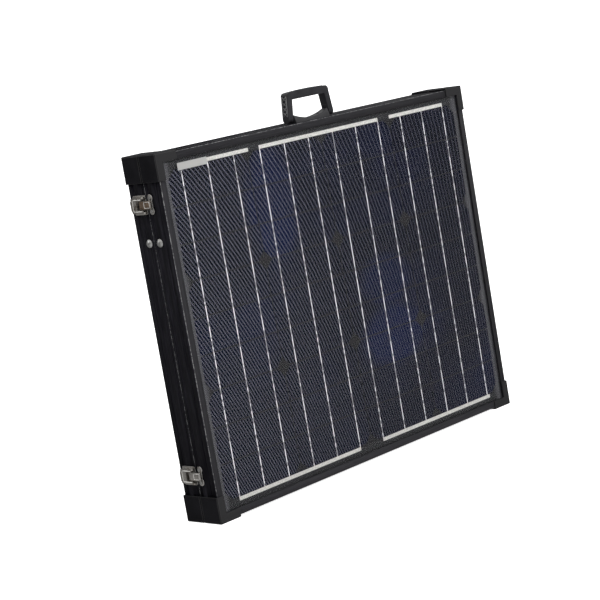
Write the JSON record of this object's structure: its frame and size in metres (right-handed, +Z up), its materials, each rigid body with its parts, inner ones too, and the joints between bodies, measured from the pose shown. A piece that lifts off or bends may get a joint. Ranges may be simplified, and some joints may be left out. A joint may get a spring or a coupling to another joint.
{
  "type": "folding solar panel",
  "caption": "Folding solar case: two framed solar panels hinged on a short side, with corner guards, draw latches, carrying handle and stowed support legs.",
  "frame": {"origin": "centre of the closed case's footprint, on the surface it stands on", "axes": "+X along the width towards the hinges, +Y from the front glass to the rear glass, +Z up to the handle"},
  "size_m": [0.687, 0.075, 0.587],
  "materials": {
    "rail": "black anodised, satin, with two shallow grooves along each side",
    "plain_aluminium": "mill finish",
    "sealant": "black silicone",
    "glass": "low-iron toughened glass, lightly textured",
    "tinned_copper": "dull tinned copper strip",
    "silicon": "dark blue monocrystalline silicon with fine silver fingers",
    "backsheet": "dark grey laminated sheet",
    "guard": "black moulded plastic, fine texture",
    "box_plastic": "black moulded plastic",
    "terminal_brass": "plain brass",
    "leg_aluminium": "black anodised",
    "foot_rubber": "soft black rubber",
    "bolt_steel": "bright zinc plate",
    "zinc_steel": "zinc plate",
    "black_steel": "black coated steel",
    "latch_steel": "bright nickel plate, lightly worn",
    "handle_plastic": "black moulded plastic, satin",
    "label_paper": "white film, blank"
  },
  "bodies": {
    "front_panel": {"front_top_rail": "rail", "front_bottom_rail": "rail", "front_latch_rail": "rail", "front_hinge_rail": "rail", "front_corner_keys": "plain_aluminium", "front_edge_seal": "sealant", "front_glass": "glass", "front_ribbons": "tinned_copper", "front_cells": "silicon", "front_backsheet": "backsheet", "front_guard_top_latch": "guard", "front_guard_top_hinge": "guard", "front_guard_bottom_latch": "guard", "front_guard_bottom_hinge": "guard", "front_junction_box": "box_plastic", "front_junction_lid": "box_plastic", "front_terminals": "terminal_brass", "front_cable_gland": "box_plastic", "front_leg_bolt": "bolt_steel", "front_leg_nut": "zinc_steel", "front_hinge_leaves": "black_steel", "front_screws": "bolt_steel", "hinge_pins": "bolt_steel", "latch_keepers": "latch_steel", "handle_base": "handle_plastic", "label": "label_paper"},
    "rear_panel": {"rear_top_rail": "rail", "rear_bottom_rail": "rail", "rear_latch_rail": "rail", "rear_hinge_rail": "rail", "rear_corner_keys": "plain_aluminium", "rear_edge_seal": "sealant", "rear_glass": "glass", "rear_ribbons": "tinned_copper", "rear_cells": "silicon", "rear_backsheet": "backsheet", "rear_guard_top_latch": "guard", "rear_guard_top_hinge": "guard", "rear_guard_bottom_latch": "guard", "rear_guard_bottom_hinge": "guard", "rear_junction_box": "box_plastic", "rear_junction_lid": "box_plastic", "rear_terminals": "terminal_brass", "rear_cable_gland": "box_plastic", "rear_leg_bolt": "bolt_steel", "rear_leg_nut": "zinc_steel", "rear_hinge_leaves": "black_steel", "rear_screws": "bolt_steel", "latch_bases": "latch_steel", "latch_pivots": "latch_steel"},
    "front_leg": {"front_leg": "leg_aluminium", "front_leg_foot": "foot_rubber"},
    "rear_leg": {"rear_leg": "leg_aluminium", "rear_leg_foot": "foot_rubber"},
    "upper_lever": {"upper_latch_lever": "latch_steel"},
    "lower_lever": {"lower_latch_lever": "latch_steel"},
    "upper_hook": {"upper_latch_hook": "latch_steel"},
    "lower_hook": {"lower_latch_hook": "latch_steel"},
    "bail": {"handle_bail": "handle_plastic"}
  },
  "joints": [
    {"name": "fold", "type": "hinge", "parent": "front_panel", "child": "rear_panel", "pos_m": [0.3395, 0, 0.2705], "axis": [0, 0, -1], "range_deg": [0, 180]},
    {"name": "front_leg_swing", "type": "hinge", "parent": "front_panel", "child": "front_leg", "pos_m": [-0.325, -0.0115, 0.414], "axis": [1, 0, 0], "range_deg": [0, 60]},
    {"name": "rear_leg_swing", "type": "hinge", "parent": "rear_panel", "child": "rear_leg", "pos_m": [-0.325, 0.0115, 0.414], "axis": [-1, 0, 0], "range_deg": [0, 60]},
    {"name": "upper_lever_turn", "type": "hinge", "parent": "rear_panel", "child": "upper_lever", "pos_m": [-0.3397, 0.0038, 0.47], "axis": [0, 0, 1], "range_deg": [0, 90]},
    {"name": "upper_hook_turn", "type": "hinge", "parent": "upper_lever", "child": "upper_hook", "pos_m": [-0.3387, 0.0108, 0.47], "axis": [0, 0, -1], "range_deg": [0, 99.5]},
    {"name": "lower_lever_turn", "type": "hinge", "parent": "rear_panel", "child": "lower_lever", "pos_m": [-0.3397, 0.0038, 0.071], "axis": [0, 0, 1], "range_deg": [0, 90]},
    {"name": "lower_hook_turn", "type": "hinge", "parent": "lower_lever", "child": "lower_hook", "pos_m": [-0.3387, 0.0108, 0.071], "axis": [0, 0, -1], "range_deg": [0, 99.5]},
    {"name": "bail_turn", "type": "hinge", "parent": "front_panel", "child": "bail", "pos_m": [0, -0.013, 0.546], "axis": [1, 0, 0], "range_deg": [-90, 90]}
  ],
  "couplings": [
    {"joint": "front_leg_swing", "follows": "fold", "ratio": 0.3333},
    {"joint": "rear_leg_swing", "follows": "fold", "ratio": 0.3333},
    {"joint": "upper_hook_turn", "follows": "upper_lever_turn", "ratio": 1.1},
    {"joint": "lower_hook_turn", "follows": "lower_lever_turn", "ratio": 1.1}
  ]
}
